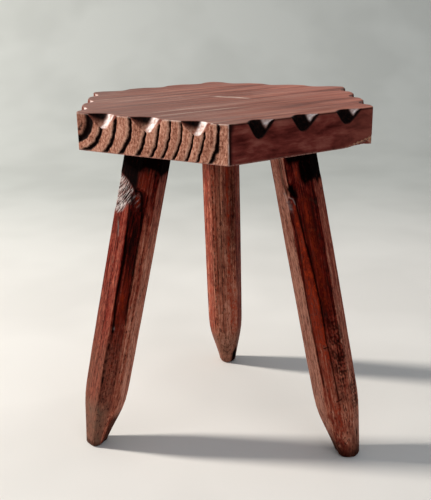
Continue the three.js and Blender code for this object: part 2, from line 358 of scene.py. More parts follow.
def shape_seat(slab):
    """Gouges the notches, wears the arrises and weathers the end grain."""
    points = read_points(slab)
    sides = [side_of_seat(side) for side in range(6)]
    inset = np.stack([(middle - points) @ outward for _, middle, _, outward in sides])
    nearest = inset.argmin(axis=0)
    inward = inset.min(axis=0)
    depth = SEAT_TOP - points[:, 2]
    along = np.zeros(len(points))
    ends = np.zeros(len(points))
    reach = np.zeros(len(points))
    place = np.zeros(len(points))
    for side, (length, middle, way, _) in enumerate(sides):
        mine = nearest == side
        along[mine] = (points[mine] - middle) @ way
        ends[mine] = length / 2 - np.abs(along[mine])
        reach[mine], place[mine] = notch_at(side, along[mine])

    # Where each point lies on the way from the top, over the top edge and down the side
    on_top = depth < 0.01
    below = depth > SEAT_THICKNESS - 0.01
    way_down = np.where(on_top, -inward, np.where(below, SEAT_THICKNESS + inward, depth))

    # The top edge with its notches, and the bottom edge with the splinter that is lost
    down_share = way_down + NOTCH_INWARD * reach
    run = (1 + NOTCH_INWARD) * np.maximum(reach, 1)
    through = np.clip(down_share / run, 0, 1)
    bowl = NOTCH_BOWL * 4 * through * (1 - through) * np.clip(reach / 15, 0, 1)
    share_in = NOTCH_INWARD / (1 + NOTCH_INWARD)
    flat = 0 * way_down
    slope_in = soft_max([flat, -way_down, share_in * (reach - way_down)], TOP_ARRIS_SOFTNESS)
    slope_down = soft_max([flat, way_down, (1 - share_in) * down_share], TOP_ARRIS_SOFTNESS)
    slope_in = slope_in + BOWL_IN * bowl
    slope_down = slope_down + BOWL_DOWN * bowl
    from_bottom = SEAT_THICKNESS - way_down
    end_of_side = sides[0][0] / 2 - along
    share_lost = np.clip(1 - end_of_side / SPLINTER_LENGTH, 0, 1)
    lost = np.where(nearest == 0, SPLINTER_HEIGHT * share_lost, 0)
    lost = np.where((nearest == 1) & (ends < 4) & (along < 0), SPLINTER_HEIGHT, lost)
    # The splinter's upper edge is ragged, and its bed is ridged with fibres
    lost = lost + 0.7 * np.sin(along * 1.1) * (lost > 0.5) - 1.2
    down_splinter = np.clip((lost - from_bottom) / np.maximum(lost, 1), 0, 1)
    fibres = 0.7 * np.sin(18 * down_splinter + 0.2 * along) * (lost > 1) * (down_splinter > 0)
    bottom_in = soft_max([flat, -from_bottom, (lost - from_bottom) / 2], LOW_ARRIS_SOFTNESS)
    bottom_in = bottom_in + fibres + 0.7 * (fibres != 0)
    bottom_up = soft_max([flat, from_bottom, (lost + from_bottom) / 2], LOW_ARRIS_SOFTNESS)
    upper = way_down < SEAT_THICKNESS / 2
    new_in = np.where(upper, slope_in, bottom_in)
    new_depth = np.where(upper, slope_down, SEAT_THICKNESS - bottom_up)
    edge_zone = (inward < TOP_BORDER - 0.5) & ~(below & (inward > UNDERSIDE_BORDER - 0.5))

    # Grooves of the weathered end grain, with raised bands between them
    across = points @ across_grain - seat_centre @ across_grain
    number = ring_number(across, depth)
    number = number + 0.022 * ripple(points, 12, 9) + 0.02 * ripple(points, 40, 4)
    from_groove = np.abs(number - np.round(number))
    ring_gap = np.interp(number, range(len(RING_RADII) - 1), np.diff(RING_RADII))
    first_groove = np.exp(-((number - 1) ** 2) * 9)
    half_width = 1.3 + 1.6 * np.exp(-number / 2.5) + 2.6 * first_groove * step(depth, 34, 14)
    half_width = half_width / ring_gap
    groove = peak(from_groove, half_width) * (number > 0.5)
    end_grain = ~np.isin(nearest, LONG_GRAIN_SIDES)
    face = end_grain * step(way_down, np.maximum(reach, 0) + 0.2, np.maximum(reach, 0) + 2.2)
    face = face * (~below) * step(ends, 0, 3)
    crown = 0.5 * (1 - (from_groove / 0.5 - 0.3) ** 2)
    hollow = face * (GROOVE_DEPTH * groove * (0.75 + 0.25 * step(depth, 10, 35)) + crown * 0.3)
    uneven = 0.25 * ripple(points, 45, 3) * (way_down > 1) * (~below)
    new_in = new_in + hollow + uneven * step(ends, 0, 6) + 0.25 * (way_down > 1) * (~below)

    moved = points.copy()
    outward = np.stack([side[3] for side in sides])[nearest]
    shift = (inward - new_in)[:, None] * outward
    shift[:, 2] = depth - new_depth
    moved[edge_zone] += shift[edge_zone]

    # Soft corners: each pair of sides runs into the next along a small curve
    soft_corner = CORNER_SOFTNESS * np.exp(-inward / 4)
    for corner in range(6):
        before = sides[corner - 1]
        after = sides[corner]
        pull = inward * tan(pi / 6)
        on_before = (nearest == (corner - 1) % 6) & (along > 0) & (ends < 25)
        on_after = (nearest == corner) & (along < 0) & (ends < 25)
        here = on_before | on_after
        run = np.where(on_before, -(ends - pull), ends - pull)
        root = np.sqrt(run * run + 4 * soft_corner * soft_corner)
        ahead = (run + root) / 2 - np.maximum(run, 0)
        behind = (run - root) / 2 - np.minimum(run, 0)
        turn = ahead[:, None] * after[2] + behind[:, None] * before[2]
        moved[here] += turn[here]
    write_points(slab, moved)

    outside = (way_down > 0) & (~below)
    paint(slab, "end_grain", end_grain * outside)
    paint(slab, "ring", number)
    gouged = step(np.minimum(reach - way_down, down_share), -0.5, 0.7)
    paint(slab, "gouged", gouged)

    # Painted highlights and painted shade in the notches and along the edges: pale highlights on
    # the notch walls that face the light, and black shade on the walls turned from it, in the
    # notches of the shaded sides and in lines along the first side's edges
    on_long_grain = ~end_grain
    facing_us = np.where(nearest == 4, -place, place)
    streak = 0.38 - 0.36 * through
    off_streak = np.abs(facing_us - streak)
    pale_streak = 1 - step(off_streak, 0.2 - 0.08 * through, 0.52 - 0.22 * through)
    pale_streak = pale_streak * step(through, -0.02, 0.06)
    left_of_it = step(streak - 0.3 - facing_us, -0.1, 0.2) * (1 - 0.8 * step(through, 0.3, 0.85))
    corner_left = step(place, 0.39 + 0.18 * through, 0.53 + 0.18 * through)
    corner_right = 1 - step(place, 1.06 - 0.66 * through, 1.16 - 0.66 * through)
    pale_corner = 0.75 * corner_left * corner_right
    in_shade = np.isin(nearest, SHADED_SIDES)
    pale = gouged * np.where(on_long_grain, pale_corner, pale_streak)
    pale = pale * np.where(in_shade, 0.25, 1)
    black = gouged * np.where(on_long_grain | in_shade, 1 - pale_corner / 0.75, left_of_it)
    # Black painted shade along the first side's top arris, its notches' rims and its start
    rim = peak(way_down - reach, 1.1) * step(place, 0, 0.3) * (reach > 1)
    line = 0.85 * peak(way_down - 1.1, 1.1) * (reach < 1)
    end_line = peak(ends, 4.2 + 3 * step(way_down, 12, 2), 4) * (along < 0) * 0.95
    edges = np.maximum.reduce([rim * (way_down > 0), line, end_line * outside])
    black = np.maximum(black, on_long_grain * (nearest == 0) * np.clip(edges, 0, 1))
    # A weak pale painted highlight down the end arris of each end-grain side
    end_arris = peak(ends, 0.8) * (along > 0) * end_grain * outside
    pale = np.maximum(pale, 0.4 * end_arris)
    paint(slab, "pale", pale * (~below))
    paint(slab, "black", black * (~below))
    paint(slab, "arris", peak(way_down, 1.0) * (reach < 1))
    paint(slab, "low_arris", peak(way_down - SEAT_THICKNESS, 1.2))
    paint(slab, "splinter", step(lost - from_bottom, -0.3, 0.6) * (lost > 0) * (~on_top) * (~below))
    paint(slab, "splinter_depth", down_splinter)


def leg_place(leg):
    """The matrix from a leg's own frame, with its Z axis up the leg from the seat's underside."""
    lean = level(-sin(radians(leg["splay"])), leg["towards"])
    axis = Vector((lean[0], lean[1], cos(radians(leg["splay"]))))
    turn = Vector((0, 0, 1)).rotation_difference(axis).to_matrix().to_4x4()
    foot = level(SOCKET_RADIUS, leg["socket"]) + seat_centre
    return Matrix.Translation((foot[0] * MM, foot[1] * MM, SEAT_UNDERSIDE * MM)) @ turn


def make_seat():
    slab = make_slab()
    shape_seat(slab)
    sockets = []
    for leg in LEGS.values():
        radius, end = TENON_RADIUS + CLEARANCE, TENON_LENGTH + CLEARANCE
        socket = upright_bar(SOCKET_SEGMENTS, radius, SOCKET_START, end)
        socket.matrix_world = leg_place(leg)
        apply_place(socket)
        sockets.append(socket)
    cut(slab, sockets)
    smooth(slab, SMOOTH_ANGLE)
    return slab


# Legs

# A leg's mesh: the sides of its bar and the bar's height before its rows are moved, the cuts that
# make the rows, and how many of them go to the foot's rounded rim, the shoulder and the tenon
LEG_SEGMENTS = 240
BAR_HEIGHT = 2
LEG_CUTS = (19, 15)
FOOT_ROUNDING = 3.0
FOOT_ROWS = 6
SHOULDER_ROWS = 3
TENON_ROWS = 6


def facets(leg, name, height):
    """The bearing and the distance from the axis of each facet, at heights on the leg's axis."""
    corners = leg["corners"]
    found = []
    for i, start in enumerate(corners):
        end = corners[(i + 1) % 8] + (360 if i == 7 else 0)
        middle = np.full(len(height), (start + end) / 2.0)
        half = np.full(len(height), (end - start) / 2.0)
        if name == "right" and i == 1:
            # The one facet that turns and widens on its way down
            middle = np.interp(height, [-300, -200, -110, -60], [256, 249, 242, 240])
            half = np.interp(height, [-300, -200, -110, -60], [14, 14.5, 13.5, 13.5])
        distance = leg["girth"] * LEG_RADIUS * np.cos(np.radians(half))
        if leg["stop"] and leg["stop"][0] == i:
            above = height + leg["stop"][1] + STOP_RADIUS
            run_out = STOP_RADIUS - np.sqrt(np.maximum(STOP_RADIUS**2 - above**2, 0))
            run_out = np.where(above < 0, 0, np.where(above > STOP_RADIUS, 30, run_out))
            distance = distance + run_out
        found.append((middle, distance))
    return found


class Skin:
    """Places on a leg's skin, by their bearing and their height up the leg. Each mark drawn there
    is 1 on its (bearing, height) points and falls to 0 away from them."""

    def __init__(self, bearing, up):
        self.bearing = bearing
        self.up = up
        self.across = bearing * radians(LEG_RADIUS)

    def line(self, points, width):
        nearest = np.full(len(self.up), 1e9)
        points = [np.array([bearing * radians(LEG_RADIUS), up]) for bearing, up in points]
        for start, end in zip(points, points[1:]):
            way = end - start
            across = self.across - start[0]
            up = self.up - start[1]
            share = np.clip((across * way[0] + up * way[1]) / (way @ way), 0, 1)
            nearest = np.minimum(nearest, np.hypot(across - share * way[0], up - share * way[1]))
        return peak(nearest, width)

    def lines(self, width, *lines):
        return sum(self.line(points, width) for points in lines)

    def spot(self, middle, width, height):
        across = (self.bearing - middle[0]) * radians(LEG_RADIUS)
        return np.exp(-((across / width) ** 2) - ((self.up - middle[1]) / height) ** 2)

    def patch(self, outline, soft):
        inside = np.zeros(len(self.up), dtype=bool)
        nearest = np.zeros(len(self.up))
        for (b0, u0), (b1, u1) in zip(outline, outline[1:] + outline[:1]):
            crosses = (u0 > self.up) != (u1 > self.up)
            where = b0 + (self.up - u0) * (b1 - b0) / (u1 - u0 if u1 != u0 else 1e-9)
            inside ^= crosses & (self.bearing < where)
            nearest = np.maximum(nearest, self.line([(b0, u0), (b1, u1)], soft))
        return np.where(inside, 1 - 0.5 * nearest, 0.5 * nearest)

    def fibres(self):
        """Torn fibres that slant up to the right, between about -1 and 1."""
        across, up = self.across, self.up
        slant = np.stack([(across - 0.8 * up) / 0.75, (0.8 * across + up) / 7, 0 * up], axis=1)
        return 0.7 * ripple(slant, 3.4, 11) + 0.5 * ripple(slant * 1.9, 3.4, 12)

    def blotches(self, across, along, wavelength, seed):
        """Blotches between about -1 and 1, from how much each way along the skin counts."""
        places = np.stack([self.bearing * across, self.up * along, 0 * self.up], axis=1)
        return ripple(places, wavelength, seed)

    def dashes(self, wavelength, seed):
        """Where a line up the leg is broken into dashes, from 0 to 1."""
        places = np.stack([0 * self.up, 0 * self.up, self.up], axis=1)
        return step(ripple(places, wavelength, seed), -0.1, 0.45)


def marks_of_left_leg(skin):
    bearing, up, fibres = skin.bearing, skin.up, skin.fibres()
    line, spot, patch, dashes = skin.line, skin.spot, skin.patch, skin.dashes
    # Painted shadow of the seat over the top of the leg, down to a slanting edge
    top = patch(
        [(150, 356), (184, 356), (222, 351), (248, 345), (258, 339), (264, 349), (262, 366),
         (272, 372), (300, 369), (316, 362), (336, 366), (400, 372), (400, 430), (150, 430)],
        1.6,
    )
    spots = spot((300, 366), 3, 4) + spot((309, 359), 2, 3) + spot((321, 364), 3, 5)
    torn = patch(
        [(168, 354), (184, 356), (222, 352), (247, 345), (256, 338), (246, 327), (237, 325),
         (218, 316), (190, 310), (170, 318)],
        1.3,
    )
    gaps = torn * step(fibres, 0.05, -0.5)
    seam = line([(245, 328), (248, 318), (252, 296), (257, 259), (254, 207), (260, 166)], 1.7)
    lower = line([(260, 166), (257, 154), (255.5, 138), (255, 121), (256, 80), (253, 62)], 1.5)
    seam = seam + lower * (0.45 + 0.55 * dashes(9, 45)) * step(up, 55, 90)
    # Painted shade in the hollow beside the chamfer's curved end, which is dented too
    hollow = spot((249, 333), 3.5, 8)
    arch = line([(256, 343), (267, 344), (274, 339), (279, 327), (286, 298)], 1.3)
    join = line([(286, 298), (286, 280), (287, 255), (288, 221), (286, 210), (290, 177)], 0.9)
    specks = line([(290, 177), (290, 147), (286, 130), (287, 110), (289, 84)], 0.9)
    specks = specks * (0.4 + 0.6 * dashes(9, 5))
    flecks = line([(300, 330), (303, 250), (306, 130)], 0.7) * dashes(6, 15)
    flecks = flecks + line([(318, 340), (322, 240), (320, 120)], 0.7) * dashes(8, 25)
    flecks = flecks + line([(222, 262), (214, 200), (220, 120)], 0.7) * dashes(8, 35)
    dots = spot((256, 104), 1.1, 1.3) + spot((265, 75), 1.1, 1.4)
    streak = line([(205, 305), (226, 270)], 1.8)
    # The foot darkened: charred at its end, with painted shade on its right side near the floor
    tip = step(bearing, 296, 312) * step(up, 58, 38) + 0.6 * step(up, 9, 3)
    specked = step(skin.blotches(0.49, 0.7, 2.6, 48), 0.25, 0.8) * spot((270, 115), 7, 60)
    black = [top, 0.8 * spots, gaps, seam, hollow, arch, 0.9 * join, 0.7 * specks, 0.7 * flecks]
    # A painted highlight on the lit rim of the chamfer's curved end, put into the orange-red and
    # worn-through marks
    lit_rim_highlight = spot((265, 332), 2.6, 7)
    bare_and_highlight = [
        torn * step(fibres, -0.35, 0.35) * (0.75 + 0.25 * fibres),
        0.3 * line([(207, 300), (219, 284)], 1.2),
        0.95 * spot((261, 170), 0.9, 2.0),
        0.5 * lit_rim_highlight * step(fibres, 0.1, 0.6),
    ]
    rust_and_highlight = 0.8 * spot((274, 356), 5, 9) + 0.8 * lit_rim_highlight + 0.5 * spot((272, 205), 5, 34)
    worn = line([(203, 306), (212, 280), (213, 240)], 2.6) * (0.3 + 0.7 * dashes(14, 47))
    grey = [
        np.maximum(step(up, 95, 50), 0.45 * step(up, 190, 110)) * step(bearing, 300, 278),
        0.55 * step(bearing, 235, 205) * step(up, 250, 90),
        0.55 * line([(247, 140), (245, 100), (240, 60)], 4),
        0.5 * worn,
    ]
    dent = 1.0 * torn * (0.7 - 0.6 * fibres) + 1.2 * hollow + 0.7 * seam + 0.5 * arch
    return {
        "black": [*black, dots, 0.6 * streak, 0.8 * tip, 0.75 * specked],
        "bare_and_highlight": bare_and_highlight,
        "rust_and_highlight": [rust_and_highlight + 0.3 * spot((272, 120), 6, 40)],
        "grey": grey,
        "dent": dent + 0.1 * join + 0.6 * dots,
    }


def marks_of_right_leg(skin):
    bearing, up = skin.bearing, skin.up
    line, spot, patch, dashes = skin.line, skin.spot, skin.patch, skin.dashes
    top = patch(
        [(268, 430), (273, 378), (271, 363), (272, 354), (281, 347), (288, 349), (294, 351),
         (302, 351), (314, 352), (324, 344), (333, 350), (342, 349), (352, 355), (356, 430)],
        1.1,
    )
    rim = step(up, 372, 378) * step(bearing, 243, 249)
    lower_rim = 0.7 * line([(225, 410), (225, 352), (231, 342)], 2.6)
    seam = line([(249, 334), (251, 318), (256, 283), (261, 256), (266, 210), (266, 178)], 1.2)
    seam = seam + line([(266, 178), (264, 158), (267, 140), (268, 114), (270, 82)], 0.9)
    ticks = skin.lines(1.0, [(255, 149), (268, 150)], [(264, 79), (277, 81)])
    # Painted shade in the hollow above the chamfer's curved end, which is dented too
    hollow = patch([(234, 347), (243, 339), (252, 330), (256, 338), (251, 351), (243, 352)], 1.0)
    vein = line([(212, 330), (206, 290), (214, 240), (208, 190), (214, 120)], 0.8)
    vein = vein * dashes(16, 6)
    flecks = line([(224, 300), (226, 200), (222, 100)], 0.7) * dashes(8, 16)
    # The foot darkened: charred at its end, with painted shade
    foot = step(up + 3 * np.sin(np.radians(bearing * 3)) - 0.12 * (250 - bearing), 34, 4)
    blotches = skin.blotches(0.5, 0.7, 3.4, 26) + 0.6 * skin.blotches(0.5, 0.7, 9, 29)
    mottled = np.maximum(spot((292, 140), 11, 60), spot((322, 85), 9, 34))
    mottled = 0.8 * np.clip(1.4 * step(blotches, -0.5, 0.7) * mottled, 0, 1)
    edge = [(230, 318), (238, 290), (238, 258), (233, 211), (234, 174), (239, 100)]
    edge = 0.75 * line(edge, 0.9)
    black = [top, rim, lower_rim, seam, ticks, hollow, 0.6 * vein, 0.5 * flecks, 0.78 * foot]
    worn = line([(222, 341), (229, 333), (233, 322)], 2.6) * (0.4 + 0.6 * dashes(4, 36))
    strip = patch(
        [(242, 328), (248, 327), (252, 305), (257, 276), (262, 250), (266, 210), (266, 178),
         (264, 158), (267, 134), (240, 134), (236, 174), (234, 211), (239, 258), (240, 300)],
        0.8,
    )
    rust_and_highlight = strip * (0.75 + 0.25 * step(up, 100, 260))
    rust_and_highlight = rust_and_highlight + 0.55 * line([(253, 130), (258, 80), (262, 40)], 5)
    rust_and_highlight = rust_and_highlight + 0.5 * line([(272, 330), (276, 270), (280, 200)], 5)
    return {
        "black": [*black, mottled, edge, spot((322, 29), 2.6, 6)],
        "bare_and_highlight": [0.35 * line([(237, 337.5), (245, 334.5), (248, 327)], 0.7), 0.3 * worn],
        "rust_and_highlight": [rust_and_highlight + 0.8 * spot((264, 362), 2.2, 6)],
        "grey": [0.5 * step(up, 60, 20) * step(bearing, 270, 300)],
        "dent": 0.7 * seam + 0.5 * ticks + 1.2 * hollow + 0.5 * top + 0.3 * edge,
    }


def marks_of_back_leg(skin):
    bearing, up = skin.bearing, skin.up
    line, lines, dashes = skin.line, skin.lines, skin.dashes
    blotches = skin.blotches(0.46, 0.5, 7, 27)
    streak = line([(304, 400), (303, 250), (306, 168)], 7.0) * step(up, 150, 240)
    streak = streak * (0.72 + 0.28 * step(blotches, -0.7, 0.4))
    flutes = lines(0.9, [(214, 400), (214, 60)], [(229, 400), (230, 60)], [(247, 400), (248, 100)])
    flutes = flutes + line([(263, 400), (262, 60)], 0.8)
    flutes = 0.7 * flutes * (0.5 + 0.5 * dashes(26, 28))
    dotted = line([(238, 390), (237, 250), (239, 80)], 0.9) * dashes(7, 8)
    dotted = dotted + line([(222, 380), (220, 250), (224, 90)], 0.7) * dashes(9, 18)
    # Painted shade from the seat over the top of the leg
    top = step(up, 372, 392) * step(bearing, 215, 250) * (0.4 + 0.6 * step(blotches, -0.6, 0.4))
    shade = 0.45 * step(up, 300, 330) * step(bearing, 225, 205)
    # Painted shade on the foot's right side near the floor
    tip = skin.patch([(296, -10), (300, 22), (318, 32), (334, 24), (336, -10)], 1.5)
    rings = lines(0.9, [(255, 30), (271, 26), (290, 31)], [(250, 41), (271, 36), (292, 42)])
    rust_and_highlight = line([(286, 380), (287, 240), (284, 130)], 2.6) + 0.9 * skin.spot((300, 105), 8, 38)
    rust_and_highlight = rust_and_highlight + 0.4 * line([(206, 400), (207, 60)], 4)
    rust_and_highlight = rust_and_highlight + 0.7 * line([(323, 380), (324, 200)], 1.6)
    return {
        "black": [0.68 * streak, 0.7 * dotted, 0.8 * top, shade, tip, 0.6 * rings, flutes],
        "bare_and_highlight": [0 * up],
        "rust_and_highlight": [rust_and_highlight + 0.45 * line([(243, 380), (243, 120)], 2.0)],
        "grey": [0.8 * step(up, 85, 45), 0.5 * skin.spot((262, 250), 8, 160)],
        "dent": 0.5 * dotted + 0.4 * streak + 0.3 * rings + 0.5 * flutes,
    }


MARKS = {"left": marks_of_left_leg, "right": marks_of_right_leg, "back": marks_of_back_leg}


def marks_of_leg(name, bearing, up):
    """What time has done to a leg's skin, with painted shadow, shade and a highlight among its
    marks:
    how black, how worn through, how orange-red and how grey it is, from 0 to 1, and how deep it is
    dented, in millimetres."""
    marks = MARKS[name](Skin(bearing, up))
    for mark in ("black", "bare_and_highlight", "rust_and_highlight", "grey"):
        marks[mark] = np.clip(np.maximum.reduce(marks[mark]), 0, 1)
    return marks


# How far each foot's tip stands out towards a bearing, with a minus where it has worn back
WORN_TIPS = {
    "left": [(340, -4.5), (300, -1.5)],
    "right": [(185, -3.5), (350, 2.2), (270, 1.5)],
    "back": [(185, -4.0)],
}


def leg_skin(leg, name, bearing, height, length):
    """How far the leg's surface stands from its axis, and which facet it is."""
    up = height + length
    softness = np.interp(up, [0, 60, 120, 200], [2.2, 1.5, 0.6, 0.35])
    planes = []
    for i, (middle, distance) in enumerate(facets(leg, name, height)):
        facing = np.cos(np.radians(bearing - middle))
        wave = 0.13 * np.sin(height / (23 + 2.3 * i) + 1.7 * i + 0.3 * np.sin(height / 9.0))
        wave = wave + 0.07 * np.sin(height / 7.1 + 2.1 * i)
        plane = np.where(facing > 0.2, (distance + wave - 0.2) / np.maximum(facing, 0.2), 200)
        planes.append(plane)
    skin = -soft_max([-plane for plane in planes], softness)
    share = np.interp(up, [0, FOOT_TAPER], [FOOT_SHARE, 1])
    ease = 3.5 * peak(up - FOOT_TAPER, 9) * (1 - FOOT_SHARE) / FOOT_TAPER
    dent = marks_of_leg(name, bearing, up)["dent"]
    for towards, amount in WORN_TIPS[name]:
        facing = np.maximum(np.cos(np.radians(bearing - towards)), 0) ** 2
        dent = dent - amount * facing * step(up, FOOT_TAPER, 0)
    return skin * (share - ease) - dent, np.argmin(planes, axis=0)


def make_leg(name, leg):
    """A leg from a round bar of many rows, each row moved out to the hewn facets."""
    length = SEAT_UNDERSIDE / cos(radians(leg["splay"]))
    bar = upright_bar(LEG_SEGMENTS, LEG_RADIUS, 0, BAR_HEIGHT)
    bar.name = f"leg_{name}_hewn"
    bpy.ops.object.mode_set(mode="EDIT")
    for cuts in LEG_CUTS:
        divide(bar, lambda edge: rise_of(edge) > 1e-9, cuts)
    bpy.ops.object.mode_set(mode="OBJECT")

    points = read_points(bar)
    rows = (LEG_CUTS[0] + 1) * (LEG_CUTS[1] + 1)
    row = np.round(points[:, 2] / BAR_HEIGHT * rows).astype(int)
    bearing = np.degrees(np.arctan2(points[:, 1], points[:, 0]))
    bearing = np.where(bearing < 135, bearing + 360, bearing)

    place = leg_place(leg)
    turn = np.array(place.to_3x3())
    origin = np.array(place.translation) / MM
    last_side_row = rows - SHOULDER_ROWS - TENON_ROWS
    side_rows = last_side_row - FOOT_ROWS
    top = SEAT_UNDERSIDE - CLEARANCE

    # World heights of the rows up the side, with the foot's rim rounded by pulling in its rows
    rim = np.clip(row / FOOT_ROWS, 0, 1) * pi / 2
    rim_height = FOOT_ROUNDING * (1 - np.cos(rim))
    share = np.clip((row - FOOT_ROWS) / side_rows, 0, 1)
    aim = np.where(row <= FOOT_ROWS, rim_height, FOOT_ROUNDING + (top - FOOT_ROUNDING) * share)
    pull_in = np.where(row < FOOT_ROWS, FOOT_ROUNDING * (1 - np.sin(rim)), 0)
    pull_in = pull_in + 0.5 * (row < FOOT_ROWS)

    height = (aim - SEAT_UNDERSIDE) / turn[2, 2]
    way = np.stack([np.cos(np.radians(bearing)), np.sin(np.radians(bearing))], axis=1)
    for _ in range(4):
        skin, facet = leg_skin(leg, name, bearing, height, length)
        skin = skin - pull_in
        flat = skin[:, None] * way
        height = (aim - origin[2] - flat @ turn[2, :2]) / turn[2, 2]
    shoulder = np.clip((row - last_side_row) / SHOULDER_ROWS, 0, 1)
    radius = skin + (TENON_RADIUS - skin) * shoulder
    flat = radius[:, None] * way
    level_height = (top - origin[2] - flat @ turn[2, :2]) / turn[2, 2]
    height = np.where(row >= last_side_row, level_height, height)
    tenon = np.clip((row - last_side_row - SHOULDER_ROWS) / (TENON_ROWS - 1), 0, 1)
    full = TENON_LENGTH - TENON_CHAMFER
    height = np.where(tenon > 0, height + (full - height) * tenon, height)
    is_last = row == rows
    height = np.where(is_last, TENON_LENGTH, height)
    radius = np.where(is_last, TENON_RADIUS - TENON_CHAMFER, radius)
    local = np.concatenate([radius[:, None] * way, height[:, None]], axis=1)
    write_points(bar, local @ turn.T + origin)
    stain_and_shade_leg(bar, name, facet, bearing, height + length)
    cut(bar, [make_kerf(leg)])
    smooth(bar, SMOOTH_ANGLE)
    return bar


def make_kerf(leg):
    """The slot in a tenon's end that its fox wedge sits in."""
    deselect()
    bottom = TENON_LENGTH - WEDGE_LENGTH - CLEARANCE
    top = TENON_LENGTH + KERF_PAST_END
    bpy.ops.mesh.primitive_cube_add(size=1)
    block = bpy.context.object
    for vertex in block.data.vertices:
        height = top if vertex.co.z > 0 else bottom
        rise = (height - TENON_LENGTH + WEDGE_LENGTH) / WEDGE_LENGTH
        half = (WEDGE_TIP + WEDGE_GROWTH * rise) / 2 + CLEARANCE
        vertex.co.x = (1 if vertex.co.x > 0 else -1) * KERF_HALF_WIDTH * MM
        vertex.co.y = (1 if vertex.co.y > 0 else -1) * half * MM
        vertex.co.z = height * MM
    # The wedge spreads the tenon along the seat's grain
    turn = np.arctan2(grain[1], grain[0]) + pi / 2
    block.matrix_world = leg_place(leg) @ Matrix.Rotation(turn, 4, "Z")
    apply_place(block)
    return block


# How dark each facet that the front shows is, at heights up the leg: the old staining left on it,
# with light and shade on the facets partly painted in, and painted shade under the seat at the top
STAIN_AND_SHADE_HEIGHTS = [0, 60, 130, 200, 270, 340, 400]
STAIN_AND_SHADE = {
    "left": {
        0: [0.54, 0.5, 0.5, 0.58, 0.58, 0.64, 0.8],
        1: [0.42, 0.44, 0.52, 0.74, 0.92, 0.86, 0.92],
        2: [0.34, 0.3, 0.3, 0.3, 0.38, 0.56, 0.86],
        3: [0.3, 0.16, 0.16, 0.18, 0.24, 0.42, 0.84],
    },
    "right": {
        0: [0.26, 0.1, 0.06, 0.04, 0.08, 0.14, 0.2],
        1: [0.44, 0.3, 0.36, 0.6, 0.64, 0.74, 0.82],
        2: [0.38, 0.26, 0.44, 0.78, 0.84, 0.78, 0.82],
        3: [0.3, 0.2, 0.26, 0.34, 0.36, 0.42, 0.86],
    },
    "back": {
        0: [0.38, 0.34, 0.32, 0.34, 0.36, 0.42, 0.56],
        1: [0.26, 0.18, 0.2, 0.28, 0.3, 0.36, 0.6],
        2: [0.26, 0.12, 0.14, 0.28, 0.34, 0.38, 0.6],
    },
}


def stain_and_shade_leg(bar, name, facet, bearing, up):
    """Paints how deep the old staining still is, with light and shade partly painted in and painted
    shade under the seat, and where the wood is grey, black, worn through and orange-red.
    """
    stain_and_shade = np.interp(up, STAIN_AND_SHADE_HEIGHTS, [0.46, 0.44, 0.46, 0.5, 0.52, 0.56, 0.7])
    for number, depths in STAIN_AND_SHADE[name].items():
        stain_and_shade = np.where(facet == number, np.interp(up, STAIN_AND_SHADE_HEIGHTS, depths), stain_and_shade)
    marks = {**marks_of_leg(name, bearing, up), "stain_and_shade": stain_and_shade}
    for mark in ("grey", "stain_and_shade", "black", "bare_and_highlight", "rust_and_highlight"):
        paint(bar, mark, marks[mark])


# Finishes


def tone(colour):
    """The light in a colour that is written as it is seen on a screen, out of 255."""
    if isinstance(colour, Wire):
        return colour
    seen = [channel / 255 for channel in colour]
    plain = [c / 12.92 if c <= 0.04045 else ((c + 0.055) / 1.055) ** 2.4 for c in seen]
    return (*plain, 1)


class Wire:
    """A socket of a finish, on which sums are written as plain Python."""

    def __init__(self, finish, socket):
        self.finish = finish
        self.socket = socket

    def __add__(self, other):
        return self.finish.sum("ADD", self, other)

    def __sub__(self, other):
        return self.finish.sum("SUBTRACT", self, other)

    def __rsub__(self, other):
        return self.finish.sum("SUBTRACT", other, self)

    def __mul__(self, other):
        return self.finish.sum("MULTIPLY", self, other)

    __radd__ = __add__
    __rmul__ = __mul__


